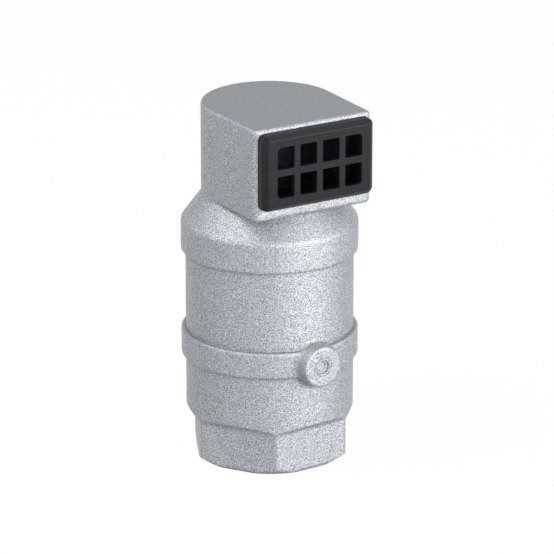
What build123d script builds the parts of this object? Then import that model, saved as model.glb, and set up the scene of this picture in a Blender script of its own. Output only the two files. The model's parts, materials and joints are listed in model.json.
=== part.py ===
from build123d import *
import os
from math import acos, atan2, cos, degrees, hypot, radians, sin, tan

# An air release valve for a 2 inch water main, in two screwed castings. Pipe water enters from
# below, air leaves through the black grille in the side of the hood. +Z is up, the grille faces -Y,
# and the origin is on the valve axis in the plane of the base. Millimetres throughout.

# Outer form of the two castings
body_radius = 42.0  # plain barrel
band_step = 2.25  # how far the two bands stand out of the barrel
hex_across_flats = 73.0
hex_height = 22.5
hex_corner = 2.0  # radius on the six upright edges
hex_turn = 4.0  # the corners are cast a little out of line with the sides, in degrees
ledge_slope = 30.0  # above each flat, in degrees from level
ledge_round = 2.0
base_chamfer = 4.5  # turned off the corners of the hexagon
base_slope = 36.0
lower_barrel = 30.1
band_height = 13.5
upper_barrel = 41.3
collar_height = 15.2
shoulder_height = 13.9
neck_radius = 34.0
hood_height = 47.0
hood_reach = 42.0  # axis to the front face
hood_front_width = 66.0
hood_wall = 4.5
cast_edge = 0.8  # radius on the edges of the bands
hood_edge = 2.0
hood_corner = 3.0
shoulder_round = 3.5

# Pipe end and float chamber
thread_radius = 29.9  # root radius of the female pipe thread
thread_length = 24.0
throat_radius = 27.0
throat_length = 10.0
body_wall = 6.0
floor_round = 2.0

# Screwed joint between body and head
skirt_overlap = 2.0  # the head's skirt laps over the barrel
spigot_wall = 3.85
spigot_length = 12.0
thread_gap = 0.15
seal_section = 1.05  # section radius of the O-ring in the joint
touch_gap = 0.03  # between a rubber ring and the walls around it

# Port boss in the lower band
boss_radius = 10.3
boss_reach = 49.6  # axis to the face of the boss
boss_draft = 9.0
boss_foot = 1.4  # radius where it meets the casting
boss_edge = 1.0
boss_turn = 1.5  # the body is screwed home with its boss a little to the right, in degrees
port_drop = 1.1  # the boss sits this far below the middle of the band
port_radius = 4.25
port_lead = 0.6
plug_length = 6.0
plug_sink = 1.6
plug_gap = 0.06
plug_chamfer = 0.6
plug_dish_radius = 2.8  # pressed home, the plug's face is dished
plug_dish_depth = 0.8

# Outlet grille
grille_margin = 1.4  # from its frame to each side of the hood
grille_drop = 1.9  # from the top of the hood down to the frame
grille_sill = 6.3  # from the bottom of the hood up to the frame
grille_depth = 5.7
grille_draft = 4.0
grille_bevel = 2.2
grille_edge = 0.8
grille_corner = 3.6
frame_side = 7.6  # from the edge of the frame to the first window
frame_bar = 6.55  # the same above and below the windows
window_bar = 3.2
window_mid_bar = 3.5
window_columns = 4
window_rows = 2
window_corner = 2.4
window_plate = 3.6
lip_wall = 2.2
lip_gap = 0.2
lip_margin = 2.8  # from the windows to the outside of the lip
barb_step = 0.8
barb_length = 1.8
opening_corner = 4.0

# Seat and seal
seat_flange = 2.9
seat_depth = 4.5
seat_mouth = 2.0  # chamfer where the air leaves the orifice
gasket_thickness = 1.0
gasket_width = 3.3
seal_lip = 1.8
seal_thickness = 2.0
seal_width = 7.5
screw_land = 3.8  # left outside the seal for the screws
retainer_thickness = 1.2
retainer_grip = 1.5
screw_count = 4
screw_radius = 1.25
screw_length = 4.0
screw_head_radius = 2.2
screw_head_height = 1.6
screw_socket = 1.5
head_ledge = 4.0

# Cage
cage_gap = 0.3
cage_flange = 3.0
flange_lip = 1.8
skirt_wall = 1.6
skirt_depth = 10.0
rib_count = 6
rib_thickness = 2.4
rib_depth = 6.9
rib_step = 2.8
foot_thickness = 3.6
foot_width = 4.9
baffle_radius = 17.0  # shields the float from the rush of air
rest_radius = 8.0  # raised pad that the float stands on
rest_rise = 1.2
spoke_width = 4.0
spoke_count = 3

# Shutter
shutter_travel = 12.0
shutter_gap = 0.5
seat_gap = 0.05  # left between bead and seal when shut
rest_gap = 0.2  # under a piece that rests on its stop
bead_offset = 4.1
bead_foot = 1.2  # half of its width
bead_crest = 0.4
shutter_chamfer = 1.5
plate_thickness = 2.4
bead_height = 1.2
dome_rise = 5.0
skirt_height = 6.7
shutter_wall = 2.1
hub_bore = 6.4
hub_wall = 2.8
hub_length = 17.0
dome_radius = 17.5
vent_radius = 1.5

# Float, stem and small nozzle
float_stroke = 4.0
float_gap = 0.6
float_wall = 1.6
float_round = 9.0
weld_height = 20.0
weld_bead = 0.3
weld_band = 2.0
float_boss_radius = 8.0
float_boss_height = 3.0
float_socket_radius = 5.6
stem_radius = 3.0
stem_sink = 8.0
stem_head_radius = 6.0
stem_head_height = 11.0
nut_across_flats = 10.0
nut_height = 2.8
slot_wall = 1.2  # left under the slot in the stem
pin_radius = 1.25
pin_gap = 0.25
pad_radius = 4.5
pad_thickness = 3.0
pad_proud = 1.0
nozzle_radius = 4.0
nozzle_tip_radius = 2.0
nozzle_tip_length = 1.2
nozzle_hole_radius = 0.6
nozzle_head = 2.4
nozzle_head_across = 10.0
washer_thickness = 0.8
washer_radius = 6.2

# Heights of the castings, from the base up
band_z = hex_height + lower_barrel
band_top_z = band_z + band_height
collar_z = band_top_z + upper_barrel
shoulder_z = collar_z + collar_height
hood_z = shoulder_z + shoulder_height
top_z = hood_z + hood_height
band_radius = body_radius + band_step
floor_z = thread_length + throat_length
chamber_radius = body_radius - body_wall
spigot_radius = chamber_radius + spigot_wall
spigot_z = collar_z + skirt_overlap
spigot_top_z = spigot_z + spigot_length
head_bore = spigot_radius + thread_gap
port_z = band_z + band_height / 2 - port_drop
grille_width = hood_front_width - 2 * grille_margin
grille_height = hood_height - grille_drop - grille_sill
grille_z = top_z - grille_drop - grille_height / 2
window_bars_width = (window_columns - 1) * window_bar
window_bars_height = (window_rows - 1) * window_mid_bar
window_width = (grille_width - 2 * frame_side - window_bars_width) / window_columns
window_height = (grille_height - 2 * frame_bar - window_bars_height) / window_rows

# Heights and radii of the seat
flange_z = spigot_top_z - cage_flange
cage_radius = chamber_radius - cage_gap
flange_radius = chamber_radius + flange_lip - 2 * thread_gap
seat_z = spigot_top_z - seat_depth
seat_top_z = spigot_top_z + seat_flange
gasket_top_z = seat_top_z + gasket_thickness
seat_radius = head_bore - cage_gap
seat_boss_radius = cage_radius - skirt_wall - 2 * cage_gap
seal_outer = seat_boss_radius - screw_land
seal_inner = seal_outer - seal_width
orifice_radius = seal_inner - seal_lip
retainer_inner = seal_outer - retainer_grip
screw_circle = (seal_outer + seat_boss_radius) / 2
retainer_z = seat_z - retainer_thickness

# Heights and radii of the moving pieces, at rest with the valve open
bead_circle = orifice_radius + bead_offset
bead_top_z = seat_z - seat_gap - shutter_travel
plate_top_z = bead_top_z - bead_height
plate_z = plate_top_z - plate_thickness
shutter_skirt_z = plate_z - skirt_height + plate_thickness
step_z = shutter_skirt_z - rest_gap
guide_radius = cage_radius - rib_depth
float_guide_radius = guide_radius - rib_step
shutter_radius = guide_radius - shutter_gap
float_radius = float_guide_radius - float_gap
hub_radius = hub_bore + hub_wall
dome_z = plate_z + dome_rise
hub_z = dome_z - hub_length
foot_z = floor_z + cage_gap
foot_top_z = foot_z + foot_thickness
float_z = foot_top_z + rest_rise + rest_gap
float_boss_z = hub_z - float_stroke - rest_gap
weld_z = float_z + weld_height
nut_z = float_boss_z + nut_height
stem_top_z = nut_z + stem_head_height
pad_z = stem_top_z + pad_proud - pad_thickness
pad_top_z = stem_top_z + pad_proud
nozzle_z = pad_top_z + float_stroke + seat_gap
pin_z = nut_z + slot_wall + float_stroke + pin_radius + pin_gap


def turned(points, rounds=()):
    """Face in the XZ plane through (radius, height) points. Each of rounds is (point number, radius)."""
    with BuildSketch(Plane.XZ) as face:
        with BuildLine():
            Polyline(*points, close=True)
        make_face()
        for number, radius in rounds:
            corner = Vector(*points[number])
            fillet(face.vertices().sort_by_distance(corner)[0], radius)
    return face.sketch


def hood_plan(radius, half_width, reach, corner):
    """D-shaped plan: a round back whose sides run tangent to the two corners of a flat front."""
    lean = degrees(atan2(-reach, half_width) + acos(radius / hypot(half_width, reach)))
    with BuildSketch() as plan:
        with BuildLine():
            back = CenterArc((0, 0), radius, lean, 180 - 2 * lean)
            Polyline(back @ 1, (-half_width, -reach), (half_width, -reach), back @ 0)
        make_face()
        fillet(plan.vertices().group_by(Axis.Y)[0], corner)
    return plan.sketch


def save(piece, name):
    """Labels a finished piece and writes its STEP file."""
    piece.label = name
    export_step(piece, f"parts/{name}.step")


os.makedirs("parts", exist_ok=True)

# Hexagon of the pipe end, which flares over a ledge above each flat, and the cutter that leaves it
flare_run = body_radius - hex_across_flats / 2 + 3 * band_step
flare_top_z = hex_height + flare_run * tan(radians(ledge_slope))
with BuildPart() as hexagon:
    with BuildSketch(Plane.XY) as foot:
        RegularPolygon(hex_across_flats / 2, 6, major_radius=False, rotation=hex_turn)
        fillet(foot.vertices(), hex_corner)
    extrude(amount=hex_height)
    with BuildSketch(Plane.XY.offset(hex_height)) as crease:
        RegularPolygon(hex_across_flats / 2, 6, major_radius=False, rotation=hex_turn)
        fillet(crease.vertices(), hex_corner)
    with BuildSketch(Plane.XY.offset(flare_top_z)) as brim:
        RegularPolygon(hex_across_flats / 2 + flare_run, 6, major_radius=False, rotation=hex_turn)
        fillet(brim.vertices(), hex_corner)
    loft(ruled=True)
    fillet(hexagon.edges().filter_by_position(Axis.Z, hex_height - 0.01, hex_height + 0.01), ledge_round)
with BuildPart() as flats_cutter:
    with BuildSketch(Plane.XY):
        Circle(2 * body_radius)
    extrude(amount=flare_top_z)
    add(hexagon.part, mode=Mode.SUBTRACT)

# Axis of the port, outwards, and a plane through it with height upwards
port_axis = Axis((0, 0, port_z), Vector(0, -1, 0).rotate(Axis.Z, boss_turn))
port_side = port_axis.direction.cross(Vector(0, 0, 1))
port_section = Plane((0, 0, port_z), x_dir=port_axis.direction, z_dir=port_side)

# Valve body: turned outside with its two bands, hexagon, chamber, throat and boss
chamfer_rise = base_chamfer * tan(radians(base_slope))
body_outline = [
    (0, 0),
    (body_radius - base_chamfer, 0),
    (body_radius, chamfer_rise),
    (body_radius, band_z),
    (band_radius, band_z),
    (band_radius, band_top_z),
    (body_radius, band_top_z),
    (body_radius, spigot_z),
    (spigot_radius, spigot_z),
    (spigot_radius, spigot_top_z),
    (0, spigot_top_z),
]
with BuildPart() as valve_body:
    add(turned(body_outline, [(4, cast_edge), (5, cast_edge)]))
    revolve(axis=Axis.Z)
    add(flats_cutter.part, mode=Mode.SUBTRACT)
    # the boss, blended into band and barrel at its foot
    boss_base = chamber_radius + 1
    boss_flare = (boss_reach - boss_base) * tan(radians(boss_draft))
    with BuildSketch(port_section) as boss_face:
        with BuildLine():
            Polyline(
                (boss_base, 0),
                (boss_reach, 0),
                (boss_reach, boss_radius),
                (boss_base, boss_radius + boss_flare),
                close=True,
            )
        make_face()
        rim = Vector(boss_reach, boss_radius)
        fillet(boss_face.vertices().sort_by_distance(rim)[0], boss_edge)
    revolve(axis=port_axis)
    boss_side = valve_body.faces().filter_by(GeomType.CONE).sort_by(Axis.Y)[0]
    boss_edges = boss_side.edges().filter_by(GeomType.LINE, reverse=True).sort_by(Axis.Y)
    fillet(boss_edges[1:], boss_foot)
    # inside
    add(
        turned(
            [
                (0, 0),
                (thread_radius, 0),
                (thread_radius, thread_length),
                (throat_radius, thread_length),
                (throat_radius, floor_z),
                (chamber_radius, floor_z),
                (chamber_radius, flange_z),
                (chamber_radius + flange_lip, flange_z),
                (chamber_radius + flange_lip, spigot_top_z),
                (0, spigot_top_z),
            ],
            [(5, floor_round)],
        )
    )
    revolve(axis=Axis.Z, mode=Mode.SUBTRACT)
    with BuildSketch(port_section):
        with Locations((boss_reach / 2, 0)):
            Rectangle(boss_reach, port_radius, align=(Align.MIN, Align.MIN))
    revolve(axis=port_axis, mode=Mode.SUBTRACT)
    chamfer(valve_body.faces().sort_by(Axis.Y)[0].inner_wires().edges(), port_lead)
save(valve_body.part, "valve_body")

# Head: turned skirt and shoulder, with the hood on top
seal_seat_z = spigot_z + 2 * seal_section + 2 * touch_gap
lip_width = grille_width - 2 * frame_side + 2 * lip_margin
lip_height = grille_height - 2 * frame_bar + 2 * lip_margin
with BuildPart() as discharge_head:
    with BuildSketch(Plane.XY.offset(hood_z)):
        add(hood_plan(neck_radius, hood_front_width / 2, hood_reach, hood_corner))
    extrude(amount=hood_height)
    fillet(discharge_head.edges().group_by(Axis.Z)[-1], hood_edge)
    fillet(discharge_head.edges().group_by(Axis.Z)[0], hood_edge)
    add(
        turned(
            [
                (0, collar_z),
                (band_radius, collar_z),
                (band_radius, shoulder_z),
                (neck_radius, hood_z),
                (neck_radius, hood_z + 2 * hood_edge),
                (0, hood_z + 2 * hood_edge),
            ],
            [(1, 0.8), (2, shoulder_round)],
        )
    )
    revolve(axis=Axis.Z)
    # inside: joint with the body, then the hollow of the hood
    add(
        turned(
            [
                (0, collar_z),
                (body_radius + thread_gap, collar_z),
                (body_radius + thread_gap, seal_seat_z),
                (head_bore, seal_seat_z),
                (head_bore, gasket_top_z),
                (seat_radius - gasket_width, gasket_top_z),
                (neck_radius - hood_wall, hood_z),
                (neck_radius - hood_wall, hood_z + hood_wall),
                (0, hood_z + hood_wall),
            ]
        )
    )
    revolve(axis=Axis.Z, mode=Mode.SUBTRACT)
    with BuildSketch(Plane.XY.offset(hood_z + hood_wall)):
        inside_radius = neck_radius - hood_wall
        inside_width = hood_front_width / 2 - hood_wall
        add(hood_plan(inside_radius, inside_width, hood_reach - hood_wall, 0.8))
    extrude(amount=hood_height - 2 * hood_wall, mode=Mode.SUBTRACT)
    # outlet for the grille
    with BuildSketch(Plane.XZ.offset(hood_reach - 2 * hood_wall)):
        with Locations((0, grille_z)):
            RectangleRounded(lip_width + 2 * lip_gap, lip_height + 2 * lip_gap, opening_corner)
    extrude(amount=3 * hood_wall, mode=Mode.SUBTRACT)
save(discharge_head.part, "discharge_head")

# Grille: a drafted frame with eight windows, and a lip behind it that snaps into the outlet
lip_length = hood_wall + lip_gap + barb_length
lip_back = hood_reach - lip_length
with BuildPart() as outlet_grille:
    with BuildSketch(Plane.XZ.offset(hood_reach)):
        with Locations((0, grille_z)):
            RectangleRounded(grille_width, grille_height, grille_corner)
    extrude(amount=grille_depth, taper=grille_draft)
    chamfer(outlet_grille.faces().sort_by(Axis.Y)[0].edges(), grille_bevel)
    fillet(outlet_grille.faces().sort_by(Axis.Y)[0].edges(), grille_edge)
    with BuildSketch(Plane.XZ.offset(lip_back)):
        with Locations((0, grille_z)):
            RectangleRounded(lip_width, lip_height, opening_corner - lip_gap)
    extrude(amount=lip_length)
    # barbs along the top and bottom of the lip, behind the casting's wall
    with BuildSketch(Plane.YZ) as barb:
        with BuildLine():
            Polyline(
                (-lip_back, grille_z + lip_height / 2 - 0.3),
                (-lip_back, grille_z + lip_height / 2),
                (-lip_back - barb_length, grille_z + lip_height / 2 + barb_step),
                (-lip_back - barb_length, grille_z + lip_height / 2 - 0.3),
                close=True,
            )
        make_face()
        mirror(about=Plane.XZ.offset(-grille_z))
    extrude(amount=lip_width / 2 - opening_corner - 4, both=True)
    with BuildSketch(Plane.XZ.offset(lip_back)):
        with Locations((0, grille_z)):
            RectangleRounded(lip_width - 2 * lip_wall, lip_height - 2 * lip_wall, opening_corner - lip_wall)
    extrude(amount=lip_length + grille_depth - window_plate, mode=Mode.SUBTRACT)
    with BuildSketch(Plane.XZ.offset(hood_reach)):
        with Locations((0, grille_z)):
            window_pitch = (window_width + window_bar, window_height + window_mid_bar)
            with GridLocations(*window_pitch, window_columns, window_rows):
                RectangleRounded(window_width, window_height, 0.7)
            windows_size = (lip_width - 2 * lip_margin, lip_height - 2 * lip_margin)
            RectangleRounded(*windows_size, window_corner, mode=Mode.INTERSECT)
    extrude(amount=2 * grille_depth, mode=Mode.SUBTRACT)
save(outlet_grille.part, "outlet_grille")

# O-ring in the corner between the barrel, the spigot and the head
with BuildPart() as head_o_ring:
    with BuildSketch(Plane.XZ):
        with Locations((spigot_radius + touch_gap + seal_section, spigot_z + touch_gap + seal_section)):
            Circle(seal_section)
    revolve(axis=Axis.Z)
save(head_o_ring.part, "head_o_ring")

# Plug pressed into the port
plug_face = boss_reach - plug_sink
plug_back = plug_face - plug_length
plug_radius = port_radius - plug_gap
with BuildPart() as port_plug:
    with BuildSketch(port_section):
        with BuildLine():
            Polyline(
                (plug_back, 0),
                (plug_back, plug_radius),
                (plug_face - plug_chamfer, plug_radius),
                (plug_face, plug_radius - plug_chamfer),
                (plug_face, plug_dish_radius),
                (plug_face - plug_dish_depth, plug_dish_radius - plug_dish_depth),
                (plug_face - plug_dish_depth, 0),
                close=True,
            )
        make_face()
    revolve(axis=port_axis)
save(port_plug.part, "port_plug")

# Cage: a flanged skirt, six guide ribs stepped for shutter and float, and a foot with a baffle
skirt_z = flange_z - skirt_depth
rib_top_z = retainer_z - head_ledge
rib_outer = cage_radius - cage_gap
foot_radius = chamber_radius - floor_round - cage_gap
with BuildPart() as rib:
    with BuildSketch(Plane.XZ):
        with BuildLine():
            Polyline(
                (float_guide_radius, foot_z),
                (foot_radius, foot_z),
                (rib_outer, foot_z + floor_round + 2 * cage_gap),
                (rib_outer, rib_top_z),
                (guide_radius, rib_top_z),
                (guide_radius, step_z),
                (float_guide_radius, step_z),
                close=True,
            )
        make_face()
    extrude(amount=rib_thickness / 2, both=True)
with BuildPart() as float_cage:
    add(
        turned(
            [
                (cage_radius - skirt_wall, skirt_z),
                (cage_radius, skirt_z),
                (cage_radius, flange_z),
                (flange_radius, flange_z),
                (flange_radius, spigot_top_z),
                (cage_radius - skirt_wall, spigot_top_z),
            ]
        )
    )
    add(
        turned(
            [
                (foot_radius - foot_width, foot_z),
                (foot_radius, foot_z),
                (foot_radius, foot_top_z),
                (foot_radius - foot_width, foot_top_z),
            ]
        )
    )
    revolve(axis=Axis.Z)
    with PolarLocations(0, rib_count):
        add(rib.part)
    with BuildSketch(Plane.XY.offset(foot_z)):
        Circle(baffle_radius)
        with PolarLocations(foot_radius / 2, spoke_count, start_angle=30):
            Rectangle(foot_radius - foot_width / 2, spoke_width)
    extrude(amount=foot_thickness)
    with BuildSketch(Plane.XY.offset(foot_top_z)):
        Circle(rest_radius)
    extrude(amount=rest_rise)
save(float_cage.part, "float_cage")

# Seat ring, clamped between the spigot and the head, with a groove below for the seal
with BuildPart() as seat_ring:
    add(
        turned(
            [
                (orifice_radius, seat_z),
                (seal_inner, seat_z),
                (seal_inner, seat_z + seal_thickness),
                (seal_outer, seat_z + seal_thickness),
                (seal_outer, seat_z),
                (seat_boss_radius, seat_z),
                (seat_boss_radius, spigot_top_z),
                (seat_radius, spigot_top_z),
                (seat_radius, seat_top_z),
                (orifice_radius + seat_mouth, seat_top_z),
                (orifice_radius, seat_top_z - seat_mouth),
            ]
        )
    )
    revolve(axis=Axis.Z)
    with BuildSketch(Plane.XY.offset(seat_z)):
        with PolarLocations(screw_circle, screw_count):
            Circle(screw_radius + touch_gap)
    extrude(amount=screw_length, mode=Mode.SUBTRACT)
save(seat_ring.part, "seat_ring")

with BuildPart() as seat_gasket:
    with BuildSketch(Plane.XY.offset(seat_top_z)):
        Circle(seat_radius)
        Circle(seat_radius - gasket_width, mode=Mode.SUBTRACT)
    extrude(amount=gasket_thickness)
save(seat_gasket.part, "seat_gasket")

with BuildPart() as seat_seal:
    with BuildSketch(Plane.XY.offset(seat_z)):
        Circle(seal_outer - touch_gap)
        Circle(seal_inner + touch_gap, mode=Mode.SUBTRACT)
    extrude(amount=seal_thickness)
save(seat_seal.part, "seat_seal")

with BuildPart() as seal_retainer:
    with BuildSketch(Plane.XY.offset(retainer_z)):
        Circle(seat_boss_radius)
        Circle(retainer_inner, mode=Mode.SUBTRACT)
        with PolarLocations(screw_circle, screw_count):
            Circle(screw_radius + touch_gap, mode=Mode.SUBTRACT)
    extrude(amount=retainer_thickness)
save(seal_retainer.part, "seal_retainer")

with BuildPart() as retainer_screws:
    with BuildSketch(Plane.XY.offset(retainer_z)):
        with PolarLocations(screw_circle, screw_count):
            Circle(screw_head_radius)
            RegularPolygon(screw_socket / 2, 6, major_radius=False, mode=Mode.SUBTRACT)
    extrude(amount=-screw_head_height)
    with BuildSketch(Plane.XY.offset(retainer_z - screw_head_height / 2)):
        with PolarLocations(screw_circle, screw_count):
            Circle(screw_radius)
    extrude(amount=screw_head_height / 2 + screw_length)
save(retainer_screws.part, "retainer_screws")

# Shutter: a guided plate with a sealing bead, a dome, and a hub that holds nozzle and link pin
dome_top_z = dome_z + plate_thickness
with BuildPart() as shutter:
    add(
        turned(
            [
                (shutter_radius - shutter_wall, shutter_skirt_z),
                (shutter_radius, shutter_skirt_z),
                (shutter_radius, plate_top_z - shutter_chamfer),
                (shutter_radius - shutter_chamfer, plate_top_z),
                (bead_circle + bead_foot, plate_top_z),
                (bead_circle + bead_crest, bead_top_z),
                (bead_circle - bead_crest, bead_top_z),
                (bead_circle - bead_foot, plate_top_z),
                (dome_radius, plate_top_z),
                (hub_radius + 1, dome_top_z),
                (nozzle_radius + touch_gap, dome_top_z),
                (nozzle_radius + touch_gap, dome_z),
                (hub_bore, dome_z),
                (hub_bore, hub_z),
                (hub_radius, hub_z),
                (hub_radius, dome_z - 1),
                (dome_radius - 1, plate_z),
                (shutter_radius - shutter_wall, plate_z),
            ]
        )
    )
    revolve(axis=Axis.Z)
    with BuildSketch(Plane.YZ):
        with Locations((0, pin_z)):
            Circle(pin_radius + touch_gap)
    extrude(amount=2 * hub_radius, both=True, mode=Mode.SUBTRACT)
    with BuildSketch(Plane.XZ):
        with Locations((0, (pin_z + dome_z) / 2)):
            Circle(vent_radius)
    extrude(amount=hub_radius + hub_wall, both=True, mode=Mode.SUBTRACT)
save(shutter.part, "shutter")

# Nozzle for the small orifice, screwed down through the dome on its washer
head_z = dome_top_z + washer_thickness
with BuildPart() as nozzle:
    with BuildSketch(Plane.XY.offset(nozzle_z)):
        Circle(nozzle_tip_radius)
    extrude(amount=nozzle_tip_length)
    with BuildSketch(Plane.XY.offset(nozzle_z + nozzle_tip_length)):
        Circle(nozzle_radius)
    extrude(amount=head_z - nozzle_z - nozzle_tip_length)
    with BuildSketch(Plane.XY.offset(head_z)):
        RegularPolygon(nozzle_head_across / 2, 6, major_radius=False)
    extrude(amount=nozzle_head)
    with BuildSketch(Plane.XY.offset(nozzle_z)):
        Circle(nozzle_hole_radius)
    extrude(amount=head_z + nozzle_head - nozzle_z, mode=Mode.SUBTRACT)
    with BuildSketch(Plane.XY.offset(head_z + nozzle_head)):
        Circle(nozzle_tip_radius)
    extrude(amount=dome_z - head_z - nozzle_head, mode=Mode.SUBTRACT)
save(nozzle.part, "nozzle")

with BuildPart() as nozzle_washer:
    with BuildSketch(Plane.XY.offset(dome_top_z)):
        Circle(washer_radius)
        Circle(nozzle_radius + touch_gap, mode=Mode.SUBTRACT)
    extrude(amount=washer_thickness)
save(nozzle_washer.part, "nozzle_washer")

with BuildPart() as link_pin:
    with BuildSketch(Plane.YZ):
        with Locations((0, pin_z)):
            Circle(pin_radius)
    extrude(amount=hub_radius - 0.3, both=True)
save(link_pin.part, "link_pin")

# Float: two shells welded at the rim, with a threaded stem in the upper one
shell_top_z = float_boss_z - float_boss_height
stem_z = float_boss_z - stem_sink
with BuildPart() as float_lower_shell:
    add(
        turned(
            [
                (0, float_z),
                (float_radius, float_z),
                (float_radius, weld_z - weld_band / 2),
                (float_radius + weld_bead, weld_z - weld_band / 2),
                (float_radius + weld_bead, weld_z),
                (0, weld_z),
            ],
            [(1, float_round)],
        )
    )
    revolve(axis=Axis.Z)
    inner_round = float_round - float_wall
    inner_radius = float_radius - float_wall
    add(
        turned(
            [
                (0, float_z + float_wall),
                (inner_radius, float_z + float_wall),
                (inner_radius, weld_z),
                (0, weld_z),
            ],
            [(1, inner_round)],
        )
    )
    revolve(axis=Axis.Z, mode=Mode.SUBTRACT)
save(float_lower_shell.part, "float_lower_shell")

with BuildPart() as float_upper_shell:
    add(
        turned(
            [
                (0, weld_z),
                (float_radius + weld_bead, weld_z),
                (float_radius + weld_bead, weld_z + weld_band / 2),
                (float_radius, weld_z + weld_band / 2),
                (float_radius, shell_top_z),
                (float_boss_radius, shell_top_z),
                (float_boss_radius, float_boss_z),
                (0, float_boss_z),
            ],
            [(4, float_round)],
        )
    )
    revolve(axis=Axis.Z)
    add(
        turned(
            [
                (0, weld_z),
                (inner_radius, weld_z),
                (inner_radius, shell_top_z - float_wall),
                (float_socket_radius, shell_top_z - float_wall),
                (float_socket_radius, stem_z - float_wall),
                (0, stem_z - float_wall),
            ],
            [(2, inner_round)],
        )
    )
    revolve(axis=Axis.Z, mode=Mode.SUBTRACT)
    with BuildSketch(Plane.XY.offset(stem_z)):
        Circle(stem_radius + touch_gap)
    extrude(amount=stem_sink, mode=Mode.SUBTRACT)
save(float_upper_shell.part, "float_upper_shell")

# Stem with a slot for the link pin and a recess for the pad
with BuildPart() as float_stem:
    add(
        turned(
            [
                (0, stem_z + 0.2),
                (stem_radius, stem_z + 0.2),
                (stem_radius, nut_z),
                (stem_head_radius, nut_z),
                (stem_head_radius, stem_top_z),
                (pad_radius + touch_gap, stem_top_z),
                (pad_radius + touch_gap, pad_z),
                (0, pad_z),
            ]
        )
    )
    revolve(axis=Axis.Z)
    with BuildSketch(Plane.YZ):
        with Locations((0, pin_z - float_stroke / 2)):
            SlotCenterToCenter(float_stroke, 2 * (pin_radius + pin_gap), rotation=90)
    extrude(amount=2 * stem_head_radius, both=True, mode=Mode.SUBTRACT)
save(float_stem.part, "float_stem")

with BuildPart() as stem_lock_nut:
    with BuildSketch(Plane.XY.offset(float_boss_z)):
        RegularPolygon(nut_across_flats / 2, 6, major_radius=False)
        Circle(stem_radius + touch_gap, mode=Mode.SUBTRACT)
    extrude(amount=nut_height)
save(stem_lock_nut.part, "stem_lock_nut")

with BuildPart() as orifice_pad:
    with BuildSketch(Plane.XY.offset(pad_z)):
        Circle(pad_radius)
    extrude(amount=pad_thickness)
save(orifice_pad.part, "orifice_pad")
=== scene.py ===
# %% [markdown]
# An air release valve, dressed for its portrait
#
# The valve comes from a CAD model: two aluminium castings screwed together, a black grille that
# lets the air out, and a float and a shutter inside. The CAD part is loaded as a fixed frame, in
# metres, with +Z up and the grille facing -Y. This lesson gives every piece its finish, cuts the
# pipe thread that the CAD leaves out, softens the rim round the port's plug, and lights the valve
# as in the photograph.

# %% Load the frame
import json
from collections import Counter
from math import cos, pi, radians, sin

import bpy
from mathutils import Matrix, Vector


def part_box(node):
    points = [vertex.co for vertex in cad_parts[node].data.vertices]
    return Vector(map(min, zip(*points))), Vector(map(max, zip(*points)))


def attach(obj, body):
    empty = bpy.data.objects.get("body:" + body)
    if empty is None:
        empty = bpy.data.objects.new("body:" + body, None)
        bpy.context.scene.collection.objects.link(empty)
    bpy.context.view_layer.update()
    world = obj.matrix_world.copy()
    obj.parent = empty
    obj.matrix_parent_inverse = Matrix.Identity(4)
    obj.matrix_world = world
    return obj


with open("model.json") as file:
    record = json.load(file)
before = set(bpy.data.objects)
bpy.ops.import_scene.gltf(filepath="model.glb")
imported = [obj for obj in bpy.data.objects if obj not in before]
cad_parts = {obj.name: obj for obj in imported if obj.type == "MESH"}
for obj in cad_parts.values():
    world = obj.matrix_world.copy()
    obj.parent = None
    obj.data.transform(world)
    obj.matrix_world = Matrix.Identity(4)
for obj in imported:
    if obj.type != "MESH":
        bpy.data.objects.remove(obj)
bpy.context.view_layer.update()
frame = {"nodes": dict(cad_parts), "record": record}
nodes = frame["nodes"]
record = frame["record"]
MM = 0.001

# %% [markdown]
# The camera stands where the photographer stood. From the two ellipses of the bands and the lean
# of the hood's edges, it is about two metres off, 31 degrees to the left of the grille and 19
# degrees above level. A long lens keeps the sides of the barrel parallel.

# %% Camera
camera_azimuth = radians(-31.0)
camera_elevation = radians(19.4)
camera_distance = 2.0
camera_lens = 260  # in mm, on a sensor 36 mm wide
camera_reach = 20  # in metres, past the far edge of the floor
aim_height = 90.9 * MM
aim_shift = 3.7 * MM  # the valve's axis stands a little left of the picture's middle
toward_camera = Vector(
    (
        sin(camera_azimuth) * cos(camera_elevation),
        -cos(camera_azimuth) * cos(camera_elevation),
        sin(camera_elevation),
    )
)
to_the_right = Vector((cos(camera_azimuth), sin(camera_azimuth), 0))
aim = Vector((0, 0, aim_height)) + to_the_right * aim_shift
bpy.ops.object.camera_add(location=aim + toward_camera * camera_distance)
camera = bpy.context.object
camera.name = "portrait_camera"
camera.rotation_euler = (-toward_camera).to_track_quat("-Z", "Y").to_euler()
camera.data.lens = camera_lens
camera.data.clip_end = camera_reach
bpy.context.scene.camera = camera
print("Camera at", [round(value, 3) for value in camera.location])

# %% [markdown]
# Every shader below is built from nodes, and two things come back in all of them. A colour is
# written as a hex code, as on a screen, while shaders count in linear light, so one function
# turns the first into the second. And a node needs its settings, values and links, which a
# second function gives it in one call.

# %% Helpers for colours and nodes
def linear(code):
    """Turns an sRGB hex colour such as "#b4b6b9" into the linear values that shaders use."""
    channels = [int(code[place : place + 2], 16) / 255 for place in (1, 3, 5)]
    light = [c / 12.92 if c <= 0.04045 else ((c + 0.055) / 1.055) ** 2.4 for c in channels]
    return (*light, 1)


def add_node(tree, kind, settings=None, inputs=None):
    """Adds a node, sets its properties, and gives each socket a value or another's output."""
    made = tree.nodes.new(kind)
    for name, value in (settings or {}).items():
        setattr(made, name, value)
    for socket, value in (inputs or {}).items():
        if isinstance(value, bpy.types.NodeSocket):
            tree.links.new(value, made.inputs[socket])
        else:
            made.inputs[socket].default_value = value
    return made


print("A middle grey on the screen, #808080, is", round(linear("#808080")[0], 3), "in linear light")

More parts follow.
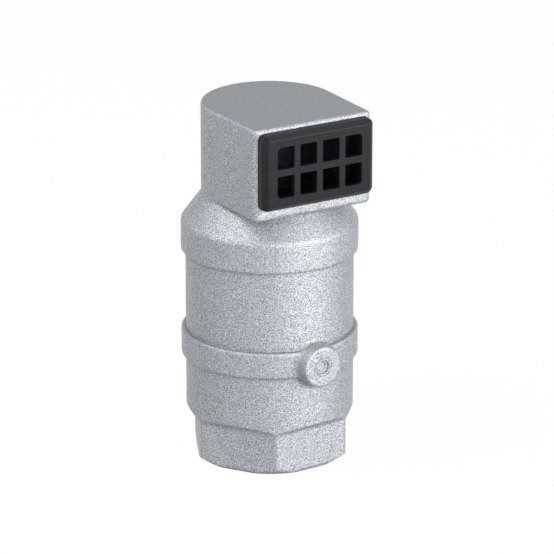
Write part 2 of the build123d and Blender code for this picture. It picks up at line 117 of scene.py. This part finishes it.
# %% [markdown]
# A product photograph on white has one white behind the valve and all round it. Blasted metal
# blurs what it mirrors into a flat grey, which is the tone of the lid and of the left side, so
# glossy rays meet the same white as the camera's, and so would rays through glass. Diffuse rays
# find a dimmer grey, because the lamps light the plastics as well.

# %% World
room_strength = 0.5
white_strength = 1.0


def shows_backdrop(tree):
    """1 for a ray from the camera, one that is mirrored and one through glass, 0 for others."""
    rays = add_node(tree, "ShaderNodeLightPath").outputs
    add = {"operation": "ADD", "use_clamp": True}
    mirrored = add_node(
        tree, "ShaderNodeMath", add, {0: rays["Is Camera Ray"], 1: rays["Is Glossy Ray"]}
    )
    every = add_node(
        tree, "ShaderNodeMath", add, {0: mirrored.outputs[0], 1: rays["Is Transmission Ray"]}
    )
    return every.outputs[0]


world = bpy.data.worlds.new("white_studio")
bpy.context.scene.world = world
world.use_nodes = True
sky = world.node_tree
sky.nodes.clear()
white = linear("#ffffff")
room = add_node(sky, "ShaderNodeBackground", inputs={"Color": white, "Strength": room_strength})
backdrop = add_node(
    sky, "ShaderNodeBackground", inputs={"Color": white, "Strength": white_strength}
)
around = add_node(
    sky,
    "ShaderNodeMixShader",
    inputs={0: shows_backdrop(sky), 1: room.outputs[0], 2: backdrop.outputs[0]},
)
add_node(sky, "ShaderNodeOutputWorld", inputs={"Surface": around.outputs[0]})
print("World:", len(sky.nodes), "nodes, strength", white_strength, "seen,", room_strength, "felt")

# %% [markdown]
# Soft boxes are large lamps close to the subject. The barrel is brightest to the right of the
# camera and falls off evenly towards the left edge, so the main box stands in front of the grille
# and a little to the right, and a weak one fills in from the left. The cone under the hood shows
# two more bright patches, left and right. It leans back, so the lamps that it mirrors hang high.
#
# A wall seen from above mirrors the floor, so blasted metal only picks up a lamp that is strong.
# That one would bleach the plastics, which is why the front box lights gloss alone.

# %% Lamps
def soft_box(name, azimuth, elevation, distance, size, power):
    """A square lamp, aimed at the valve's middle, in degrees, metres and watts."""
    turn, rise = radians(azimuth), radians(elevation)
    away = Vector((sin(turn) * cos(rise), -cos(turn) * cos(rise), sin(rise)))
    bpy.ops.object.light_add(type="AREA", location=aim + away * distance)
    lamp = bpy.context.object
    lamp.name = name
    lamp.rotation_euler = (-away).to_track_quat("-Z", "Y").to_euler()
    lamp.data.shape = "SQUARE"
    lamp.data.size = size
    lamp.data.energy = power
    return lamp


front_box = soft_box("front_box", azimuth=20, elevation=3, distance=1.4, size=1.3, power=53)
front_box.visible_diffuse = False
soft_box("high_left_box", azimuth=-98, elevation=52, distance=1.4, size=0.8, power=12)
soft_box("high_right_box", azimuth=60, elevation=60, distance=1.4, size=0.8, power=5)
soft_box("fill_box", azimuth=-62, elevation=8, distance=1.6, size=1.2, power=9)

# %% [markdown]
# The floor takes the soft shadow. The rays that show the backdrop see it mostly as plain white
# light, so that it melts into the white behind it, and only a breath of shadow is left. For all
# other rays it is a matt pale grey.

# %% Floor
floor_radius = 6.0
floor_drop = 0.1 * MM  # so that the floor and the valve's foot don't share a plane
white_share = 0.96
bpy.ops.object.select_all(action="DESELECT")
bpy.ops.mesh.primitive_circle_add(
    vertices=64, radius=floor_radius, fill_type="NGON", location=(0, 0, -floor_drop)
)
floor = bpy.context.object
floor.name = "studio_floor"
floor_paint = bpy.data.materials.new("white_floor")
floor_paint.use_nodes = True
tree = floor_paint.node_tree
tree.nodes.clear()
matt_grey = add_node(tree, "ShaderNodeBsdfDiffuse", inputs={"Color": linear("#f0f0f0")})
plain_white = add_node(
    tree, "ShaderNodeEmission", inputs={"Color": white, "Strength": white_strength}
)
share = add_node(
    tree, "ShaderNodeMath", {"operation": "MULTIPLY"}, {0: shows_backdrop(tree), 1: white_share}
)
paint = add_node(
    tree,
    "ShaderNodeMixShader",
    inputs={0: share.outputs[0], 1: matt_grey.outputs[0], 2: plain_white.outputs[0]},
)
add_node(tree, "ShaderNodeOutputMaterial", inputs={"Surface": paint.outputs[0]})
floor.data.materials.append(floor_paint)
print("Floor:", 2 * floor_radius, "m wide,", floor_drop / MM, "mm below the valve")

# %% [markdown]
# Most materials below are built in the same way: a pattern of noise, read on Object coordinates so
# that it sits still on the piece, mixes two close tones and also drives the bump. Two small
# helpers cover what repeats. One makes a material and finds its Object coordinates, and the other
# turns a size in millimetres into a noise scale.

# %% Material helpers
def new_material(name, roughness, metallic=0.0):
    """A material with a Principled shader, its tree and its Object coordinates."""
    material = bpy.data.materials.new(name)
    material.use_nodes = True
    tree = material.node_tree
    shader = tree.nodes["Principled BSDF"]
    shader.inputs["Roughness"].default_value = roughness
    shader.inputs["Metallic"].default_value = metallic
    where = add_node(tree, "ShaderNodeTexCoord").outputs["Object"]
    return material, tree, shader, where


def per_mm(size):
    """The Noise scale whose grains are about size millimetres wide, on Object coordinates."""
    return 1 / (size * MM)


print("Noise scale of a grain 1 mm wide:", round(per_mm(1.0)))

# %% [markdown]
# The castings are aluminium poured in sand and then blasted with grit. That leaves a pale grey
# skin of tiny dents, each of which throws back the light at its own angle, so the metal sparkles
# instead of shining. Four things besides the dents make it look real. The lid of the hood is
# smoother than the sides, and greyer, which is painted shade on its top. Corners under the bands
# and round the boss get painted shade, which an Ambient Occlusion node finds. The blasted edges
# are soft, and a Bevel node rounds the shading there without touching the mesh. And the grit
# never gets inside, where the walls stay as dull as the sand left them and are drawn darker, as
# painted shade.
#
# The mask for the inside comes from the CAD record, which states the air space in the hood as a
# box. Below the hood everything is turned, so the distance from the axis is enough. In the hood
# only the back is round, so the front half uses the distance from the middle plane.

# %% Where the inside of the castings is
openings = {opening["name"]: opening["box_m"] for opening in record["physics"]["openings"]}
hood_space = openings["hood_hollow_front"]
wall_depth = 3.0 * MM  # from the air space to the middle of the wall round it
inside_radius = hood_space[1][0] + wall_depth
inside_floor = hood_space[0][2] - wall_depth
inside_ceiling = hood_space[1][2] + wall_depth
inside_front = hood_space[0][1] - wall_depth
print("Inside of the hood: radius", round(inside_radius / MM, 1), "mm, from z",
      round(inside_floor / MM, 1), "to", round(inside_ceiling / MM, 1), "mm")


def inside_mask(tree, where):
    """1 on the walls of the air passage inside the castings, 0 on their outer skin."""
    place = add_node(tree, "ShaderNodeSeparateXYZ", inputs={0: where}).outputs
    in_hood = add_node(
        tree, "ShaderNodeMath", {"operation": "GREATER_THAN"}, {0: place["Z"], 1: inside_floor}
    )
    rear = add_node(tree, "ShaderNodeMath", {"operation": "MAXIMUM"}, {0: place["Y"], 1: 0.0})
    depth = add_node(
        tree,
        "ShaderNodeMix",
        inputs={"Factor": in_hood.outputs[0], "A": place["Y"], "B": rear.outputs[0]},
    )
    flat = add_node(
        tree, "ShaderNodeCombineXYZ", inputs={"X": place["X"], "Y": depth.outputs["Result"]}
    )
    from_axis = add_node(
        tree, "ShaderNodeVectorMath", {"operation": "LENGTH"}, {0: flat.outputs[0]}
    )
    mask = 1.0
    for value, relation, limit in (
        (from_axis.outputs["Value"], "LESS_THAN", inside_radius),
        (place["Z"], "LESS_THAN", inside_ceiling),
        (place["Y"], "GREATER_THAN", inside_front),
    ):
        holds = add_node(tree, "ShaderNodeMath", {"operation": relation}, {0: value, 1: limit})
        both = add_node(
            tree, "ShaderNodeMath", {"operation": "MULTIPLY"}, {0: holds.outputs[0], 1: mask}
        )
        mask = both.outputs[0]
    return mask


# %% [markdown]
# The dents come in two sizes: the grit's, drawn about 0.5 mm wide because the real 0.3 mm ones
# would be lost between two pixels, and a wider unevenness of 4 mm left by the sand of the mould.
# The rims of the dents are rubbed bright, so the same noise also mixes the two tones of the metal.
# The lid keeps less than half of the grit's dents and bright rims: the skin value falls over the
# last millimetre below its top. Fewer dents make it smoother, and fewer bright rims make it
# greyer, which is painted shade on the top.

# %% Blasted cast aluminium: dents and tones
grit_width = 0.52
sand_width = 4.0
lid_share = 0.44
hollow, rim = 0.36, 0.64  # the noise's value at the bottom of a dent and on its rim
lid_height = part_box("discharge_head")[1][2]
cast_metal, tree, shader, where = new_material("blasted_cast_aluminium", 0.6, metallic=1.0)
height = add_node(tree, "ShaderNodeSeparateXYZ", inputs={0: where}).outputs["Z"]
# The skin value also greys the lid's top, which is painted shade.
skin = add_node(
    tree,
    "ShaderNodeMapRange",
    inputs={
        "Value": height,
        "From Min": lid_height - 0.9 * MM,
        "From Max": lid_height - 0.1 * MM,
        "To Min": 1.0,
        "To Max": lid_share,
    },
).outputs[0]
grit = add_node(
    tree,
    "ShaderNodeTexNoise",
    inputs={"Vector": where, "Scale": per_mm(grit_width), "Detail": 1.0},
).outputs["Fac"]
sand = add_node(
    tree, "ShaderNodeTexNoise", inputs={"Vector": where, "Scale": per_mm(sand_width)}
).outputs["Fac"]
rims = add_node(
    tree, "ShaderNodeMapRange", inputs={"Value": grit, "From Min": hollow, "From Max": rim}
)
sparkle = add_node(
    tree, "ShaderNodeMath", {"operation": "MULTIPLY"}, {0: rims.outputs[0], 1: skin}
)
blasted = add_node(
    tree,
    "ShaderNodeMix",
    {"data_type": "RGBA"},
    {"Factor": sparkle.outputs[0], "A": linear("#75777a"), "B": linear("#b3b5b9")},
)
print("Dents of", grit_width, "mm and", sand_width, "mm, the lid's top at",
      round(lid_height / MM, 1), "mm")

# %% [markdown]
# Ambient Occlusion tells how much of a surface's surroundings lies open within a given reach. That
# reach is about the width of the shaded corners, and the value paints shade into the tone there.
# The dull tone of the inside, darker as painted shade, is then laid over it by the mask.

# %% Blasted cast aluminium: painted shade in the corners and the inside
corner_reach = 2.6 * MM
# Painted shade: the Ambient Occlusion value darkens the colour in corners and creases.
reach = add_node(tree, "ShaderNodeAmbientOcclusion", {"samples": 12}, {"Distance": corner_reach})
shade = add_node(
    tree,
    "ShaderNodeMapRange",
    inputs={
        "Value": reach.outputs["AO"],
        "From Min": 0.4,
        "From Max": 0.95,
        "To Min": 0.55,
        "To Max": 1.0,
    },
)
tone_with_painted_shade = add_node(
    tree,
    "ShaderNodeVectorMath",
    {"operation": "SCALE"},
    {0: blasted.outputs["Result"], "Scale": shade.outputs[0]},
)
# The inside's tone is darker than the outer skin, as painted shade; its dullness is the unblasted
# skin.
tone = add_node(
    tree,
    "ShaderNodeMix",
    {"data_type": "RGBA"},
    {
        "Factor": inside_mask(tree, where),
        "A": tone_with_painted_shade.outputs["Vector"],
        "B": linear("#6b6c70"),
    },
)
tree.links.new(tone.outputs["Result"], shader.inputs["Base Color"])
print("Corners darken within", round(corner_reach / MM, 1), "mm")

# %% [markdown]
# The normals pass through three nodes in a row: Bevel rounds the edges, one Bump adds the grit's
# dents on top, and another the sand's. Each takes the normal that the one before it gives.

# %% Blasted cast aluminium: soft edges and bumps
edge_radius = 1.8 * MM
dent_depth = 0.16 * MM
sand_depth = 0.6 * MM
soft_edges = add_node(tree, "ShaderNodeBevel", {"samples": 6}, {"Radius": edge_radius})
dents = add_node(
    tree,
    "ShaderNodeBump",
    inputs={
        "Distance": dent_depth,
        "Height": grit,
        "Strength": skin,
        "Normal": soft_edges.outputs[0],
    },
)
uneven = add_node(
    tree,
    "ShaderNodeBump",
    inputs={
        "Strength": 0.4,
        "Distance": sand_depth,
        "Height": sand,
        "Normal": dents.outputs[0],
    },
)
tree.links.new(uneven.outputs[0], shader.inputs["Normal"])
print("Cast skin:", len(tree.nodes), "nodes")

# %% [markdown]
# The plug in the port is zinc-plated steel, pressed in before the casting was blasted, so it has
# the same pale skin and dents of nearly the same width. They are a shade paler at the bottom, and
# the zinc shines a little more.

# %% Blasted zinc-plated steel
plated_width = 0.5
plated_depth = 0.15 * MM
plug_metal, tree, shader, where = new_material("blasted_zinc_plate", 0.55, metallic=1.0)
grit = add_node(
    tree,
    "ShaderNodeTexNoise",
    inputs={"Vector": where, "Scale": per_mm(plated_width), "Roughness": 0.6},
).outputs["Fac"]
rims = add_node(
    tree, "ShaderNodeMapRange", inputs={"Value": grit, "From Min": hollow, "From Max": rim}
)
plated = add_node(
    tree,
    "ShaderNodeMix",
    {"data_type": "RGBA"},
    {"Factor": rims.outputs[0], "A": linear("#7e8084"), "B": linear("#b3b5b9")},
)
dents = add_node(tree, "ShaderNodeBump", inputs={"Distance": plated_depth, "Height": grit})
tree.links.new(plated.outputs["Result"], shader.inputs["Base Color"])
tree.links.new(dents.outputs[0], shader.inputs["Normal"])
print("Plated skin:", len(tree.nodes), "nodes")

# %% [markdown]
# The mouldings are four plastics and a rubber. In each, two close tones lie in patches, and the
# mould leaves a grain on the skin, which shows in the bump. One function makes them all, because
# only the values differ. The grain is about 0.1 mm wide on the real pieces. It is drawn several
# times as wide, or it would be lost between two pixels.

# %% How a moulding is made
grain_depth = 0.12 * MM
milk_depth = 1.5 * MM  # how far light travels in a milky plastic


def moulded(name, dark, light, roughness, grain, patch, milky=0.0, gloss=0.5):
    """A moulded material: two tones in patches, and a grain in the bump. Sizes in millimetres."""
    material, tree, shader, where = new_material(name, roughness)
    clouds = add_node(
        tree,
        "ShaderNodeTexNoise",
        inputs={"Vector": where, "Scale": per_mm(patch), "Detail": 3.0},
    ).outputs["Fac"]
    grains = add_node(
        tree, "ShaderNodeTexNoise", inputs={"Vector": where, "Scale": per_mm(grain)}
    ).outputs["Fac"]
    both = add_node(tree, "ShaderNodeMix", inputs={"Factor": 0.4, "A": clouds, "B": grains})
    factor = add_node(
        tree,
        "ShaderNodeMapRange",
        inputs={"Value": both.outputs["Result"], "From Min": 0.35, "From Max": 0.65},
    )
    tone = add_node(
        tree,
        "ShaderNodeMix",
        {"data_type": "RGBA"},
        {"Factor": factor.outputs[0], "A": linear(dark), "B": linear(light)},
    )
    texture = add_node(
        tree,
        "ShaderNodeBump",
        inputs={"Strength": 0.3, "Distance": grain_depth, "Height": grains},
    )
    tree.links.new(tone.outputs["Result"], shader.inputs["Base Color"])
    tree.links.new(texture.outputs[0], shader.inputs["Normal"])
    shader.inputs["Specular IOR Level"].default_value = gloss
    if milky:
        shader.inputs["Subsurface Weight"].default_value = milky
        shader.inputs["Subsurface Radius"].default_value = (1.0, 1.0, 0.8)
        shader.inputs["Subsurface Scale"].default_value = milk_depth
    return material


print("Grain", round(grain_depth / MM, 2), "mm deep, milky light", milk_depth / MM, "mm deep")

# %% [markdown]
# The five differ in tone, in gloss and in what the mould or the filler leaves. Black nylon is
# spark-eroded to a satin grain. Glass-filled nylon is mottled in small pale patches, where the
# filler comes to the skin. Acetal and polypropylene are milky: a little light goes in and comes
# out beside where it entered, which Subsurface gives. Nitrile rubber is the dullest, with a faint
# bloom of pale patches.

# %% Moulded plastics and rubber
grille_plastic = moulded(
    "moulded_black_nylon", "#111113", "#1c1c1f", 0.42, grain=0.8, patch=9.0, gloss=0.17
)
seal_rubber = moulded("moulded_nitrile_rubber", "#121212", "#242423", 0.75, grain=0.5, patch=4.0)
cage_plastic = moulded(
    "moulded_acetal", "#cfccbf", "#dedcd2", 0.34, grain=1.2, patch=14.0, milky=0.15
)
shutter_plastic = moulded("glass_filled_nylon", "#232527", "#34373a", 0.5, grain=0.4, patch=1.6)
float_plastic = moulded(
    "natural_polypropylene", "#d3d2c8", "#e4e4dd", 0.38, grain=1.5, patch=12.0, milky=0.35
)
moulded_materials = (grille_plastic, seal_rubber, cage_plastic, shutter_plastic, float_plastic)
print("Moulded:", [material.name for material in moulded_materials])

# %% [markdown]
# Turned metal carries the spiral that the tool left. On a face it reads as fine rings, and on a
# cylinder as fine bands, so the height of the groove is the sine of the distance from the axis
# plus the height along it. The real feed is about 0.15 mm. It is drawn at 0.5 mm, and at 0.3 mm
# on the thread, or no groove would show. Wide stains mix two tones, for metal that was handled
# since it was cut, and the groove shows in them a little.

# %% How a turned piece is made
groove_depth = 0.03 * MM
groove_tone = 0.12  # how far the groove moves the mix of the two tones
stain_width = 5.0


def turned(name, dark, light, roughness, feed=0.5):
    """A metal from the lathe, with grooves a feed apart, in millimetres, round the Z axis."""
    material, tree, shader, where = new_material(name, roughness, metallic=1.0)
    place = add_node(tree, "ShaderNodeSeparateXYZ", inputs={0: where}).outputs
    flat = add_node(tree, "ShaderNodeCombineXYZ", inputs={"X": place["X"], "Y": place["Y"]})
    from_axis = add_node(
        tree, "ShaderNodeVectorMath", {"operation": "LENGTH"}, {0: flat.outputs[0]}
    )
    along = add_node(
        tree, "ShaderNodeMath", {"operation": "ADD"}, {0: from_axis.outputs["Value"], 1: place["Z"]}
    )
    turn = add_node(
        tree,
        "ShaderNodeMath",
        {"operation": "MULTIPLY"},
        {0: along.outputs[0], 1: 2 * pi / (feed * MM)},
    )
    groove = add_node(tree, "ShaderNodeMath", {"operation": "SINE"}, {0: turn.outputs[0]})
    stain = add_node(
        tree,
        "ShaderNodeTexNoise",
        inputs={"Vector": where, "Scale": per_mm(stain_width), "Detail": 4.0},
    )
    factor = add_node(
        tree,
        "ShaderNodeMath",
        {"operation": "MULTIPLY_ADD"},
        {0: groove.outputs[0], 1: groove_tone, 2: stain.outputs["Fac"]},
    )
    tone = add_node(
        tree,
        "ShaderNodeMix",
        {"data_type": "RGBA"},
        {"Factor": factor.outputs[0], "A": linear(dark), "B": linear(light)},
    )
    cut = add_node(
        tree,
        "ShaderNodeBump",
        inputs={"Strength": 0.35, "Distance": groove_depth, "Height": groove.outputs[0]},
    )
    tree.links.new(tone.outputs["Result"], shader.inputs["Base Color"])
    tree.links.new(cut.outputs[0], shader.inputs["Normal"])
    return material


print("Grooves", round(groove_depth / MM, 2), "mm deep, stains", stain_width, "mm wide")

# %% [markdown]
# The seat ring, the nozzle and the float's stem are brass, yellow under a thin brown film. The
# screws, the pin and the ring that holds the seal are stainless steel, a warm grey. The pipe
# thread is cut into the casting, so it shows the bright aluminium under the blasted skin.

# %% Turned brass, stainless steel and aluminium
brass = turned("turned_brass", "#98804e", "#c8ae74", 0.3)
stainless = turned("turned_stainless_steel", "#9a9996", "#c4c3c0", 0.3)
cut_aluminium = turned("cut_aluminium", "#b4b5b6", "#dadbdc", 0.32, feed=0.3)
print("Turned:", [material.name for material in (brass, stainless, cut_aluminium)])

# %% [markdown]
# The inlet is a 2 inch female pipe thread, with 11 turns to the inch. In the CAD it is a smooth
# bore at the root of the thread, and its ridge is made here. One tooth is drawn as a small loop,
# and a Screw modifier winds it up the bore. Its foot is sunk a little into the wall, so no gap
# shows.
#
# The loop starts as a circle with one vertex for each point of the tooth. The lip round the plug
# starts in the same way further down, so the drawing is a function.

# %% Section of the pipe thread
inlet = next(mount for mount in record["mounts"] if mount["name"] == "inlet")
thread_root = inlet["dims"]["r_mm"] * MM
thread_length = inlet["dims"]["length_mm"] * MM
turns_per_inch = 11
thread_pitch = 25.4 / turns_per_inch * MM
thread_depth = 1.479 * MM
thread_sink = 0.25 * MM
thread_inset = 0.4 * MM  # from each end of the bore


def section_loop(name, points):
    """A loop of edges beside the Z axis, through points given as a radius and a height."""
    bpy.ops.object.select_all(action="DESELECT")
    bpy.ops.mesh.primitive_circle_add(vertices=len(points), radius=1 * MM, location=(0, 0, 0))
    loop = bpy.context.object
    loop.name = name
    for vertex, (radius, height) in zip(loop.data.vertices, points):
        vertex.co = (radius, 0, height)
    return loop


# Each point is a share of the thread's depth, out of the wall, and a share of the pitch, along it.
upper_flank = [(0.0, 0.49), (0.17, 0.38), (0.86, 0.13), (1.0, 0.06)]
lower_flank = [(rise, -along) for rise, along in upper_flank]
tooth = lower_flank[:1] + upper_flank + lower_flank[:0:-1]
tooth_points = []
for rise, along in tooth:
    radius = thread_root - thread_depth * rise if rise else thread_root + thread_sink
    tooth_points.append((radius, thread_inset + (along + 0.5) * thread_pitch))
thread = section_loop("inlet_thread", tooth_points)
print("Tooth:", len(tooth), "points, pitch", round(thread_pitch / MM, 3), "mm")

# %% [markdown]
# A cut thread runs out gently at both ends, so the first and the last quarter turn are pushed back
# into the wall by degrees. The modifier numbers the vertices step by step, one whole tooth after
# another, so a vertex's number tells how far along the winding it is.

# %% Winding and run-out of the thread
thread_steps = 72
run_out_steps = thread_steps // 4
turns = int((thread_length - 2 * thread_inset) / thread_pitch) - 1
last_step = turns * thread_steps
winding = thread.modifiers.new("winding", "SCREW")
winding.axis = "Z"
winding.screw_offset = thread_pitch
winding.iterations = turns
winding.steps = winding.render_steps = thread_steps
winding.use_normal_calculate = True
bpy.ops.object.modifier_apply(modifier=winding.name)
sunk = thread_root + thread_sink / 2
for number, vertex in enumerate(thread.data.vertices):
    step = number // len(tooth)
    fullness = min(1.0, step / run_out_steps, (last_step - step) / run_out_steps)
    radius = vertex.co.xy.length
    if fullness < 1 and radius < thread_root:
        wanted = sunk + (radius - sunk) * fullness
        vertex.co.x *= wanted / radius
        vertex.co.y *= wanted / radius
print("Winding:", turns, "turns,", len(thread.data.vertices), "vertices")

# %% [markdown]
# The two open ends of the winding are filled, and the normals are then turned outwards. Smooth
# shading up to 40 degrees rounds the winding and keeps the edges of the crest crisp.

# %% Closed and smooth thread
smooth_up_to = radians(40)


def open_edges(piece):
    """How many edges of a piece don't join exactly two faces."""
    uses = Counter(key for face in piece.data.polygons for key in face.edge_keys)
    return sum(count != 2 for count in uses.values())


bpy.ops.object.mode_set(mode="EDIT")
bpy.ops.mesh.select_all(action="SELECT")
bpy.ops.mesh.fill_holes(sides=len(tooth))
bpy.ops.mesh.normals_make_consistent(inside=False)
bpy.ops.object.mode_set(mode="OBJECT")
bpy.ops.object.shade_smooth_by_angle(angle=smooth_up_to)
thread.data.materials.append(cut_aluminium)
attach(thread, "casing")
heights = [vertex.co.z / MM for vertex in thread.data.vertices]
print("Thread:", round(min(heights), 2), "to", round(max(heights), 2), "mm,",
      len(thread.data.polygons), "faces,", open_edges(thread), "open edges")

# %% [markdown]
# The lip of the port's bore is peened over the plug on the real boss, which leaves a soft, dished
# rim and no sharp step. A small ring stands for that lip. Its section is drawn beside the Z axis, a
# Screw modifier without any rise turns it round, and the ring is then laid in front of the plug.
# How far out the plug and the boss reach is measured on their own meshes.

# %% Section of the peened lip
bore_radius = 4.24 * MM
mouth_radius = 4.85 * MM
lip_foot = 3.3 * MM
plug_low, plug_high = (Vector(corner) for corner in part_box("port_plug"))
plug_middle = (plug_low + plug_high) / 2
outward = Vector((plug_middle.x, plug_middle.y, 0)).normalized()
plug_face = max(vertex.co.dot(outward) for vertex in nodes["port_plug"].data.vertices)
boss_face = max(vertex.co.dot(outward) for vertex in nodes["valve_body"].data.vertices)
lip_height = boss_face - plug_face
# The dished side runs from the mouth down to the plug, as shares of the lip's width and height.
dish = [(0.0, 1.0), (0.22, 0.9), (0.48, 0.68), (0.72, 0.4), (0.9, 0.14), (1.0, 0.0)]
section = [
    (mouth_radius + (lip_foot - mouth_radius) * run, lip_height * rise) for run, rise in dish
]
section += [(bore_radius, 0.0), (bore_radius, lip_height - (mouth_radius - bore_radius))]
lip = section_loop("port_lip", section)
print("Lip:", round(lip_height / MM, 2), "mm high, on a boss", round(boss_face / MM, 2),
      "mm from the axis")

# %% [markdown]
# The ring is turned lying flat round the Z axis, and then stood up so that its axis points out of
# the boss. Its place and turn are applied to the mesh. The turn ends where it began, so the two
# ends are merged before the normals are made to agree.

# %% Turned and placed lip
lip_steps = 64
merge_distance = 0.001 * MM
turning = lip.modifiers.new("turning", "SCREW")
turning.axis = "Z"
turning.steps = turning.render_steps = lip_steps
turning.use_merge_vertices = True
turning.merge_threshold = merge_distance
bpy.ops.object.modifier_apply(modifier=turning.name)
lip.rotation_euler = outward.to_track_quat("Z", "Y").to_euler()
lip.location = outward * plug_face + Vector((0, 0, plug_middle.z))
bpy.ops.object.transform_apply(location=True, rotation=True, scale=True)
bpy.ops.object.mode_set(mode="EDIT")
bpy.ops.mesh.select_all(action="SELECT")
bpy.ops.mesh.remove_doubles(threshold=merge_distance)
bpy.ops.mesh.normals_make_consistent(inside=False)
bpy.ops.object.mode_set(mode="OBJECT")
bpy.ops.object.shade_smooth_by_angle(angle=smooth_up_to)
lip.data.materials.append(cast_metal)
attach(lip, "casing")
print("Lip:", len(lip.data.polygons), "faces,", open_edges(lip), "open edges")

# %% [markdown]
# Every CAD node keeps its mesh and gets its finish here. Most of these pieces are hidden in the
# castings, but they show when the valve is opened up, cut or looked into from below.

# %% Finishes of the CAD nodes
finishes = {
    cast_metal: ["valve_body", "discharge_head"],
    plug_metal: ["port_plug"],
    grille_plastic: ["outlet_grille"],
    seal_rubber: ["head_o_ring", "seat_gasket", "seat_seal", "orifice_pad"],
    brass: ["seat_ring", "nozzle", "nozzle_washer", "float_stem", "stem_lock_nut"],
    stainless: ["seal_retainer", "retainer_screws", "link_pin"],
    cage_plastic: ["float_cage"],
    shutter_plastic: ["shutter"],
    float_plastic: ["float_lower_shell", "float_upper_shell"],
}
for node in nodes.values():
    node.data.materials.clear()
for material, names in finishes.items():
    for name in names:
        nodes[name].data.materials.append(material)
print("Nodes without a finish:",
      [name for name, node in nodes.items() if not node.data.materials])

# %% [markdown]
# The Standard view shows each colour as it is written.

# %% Finish
scene = bpy.context.scene
scene.view_settings.view_transform = "Standard"
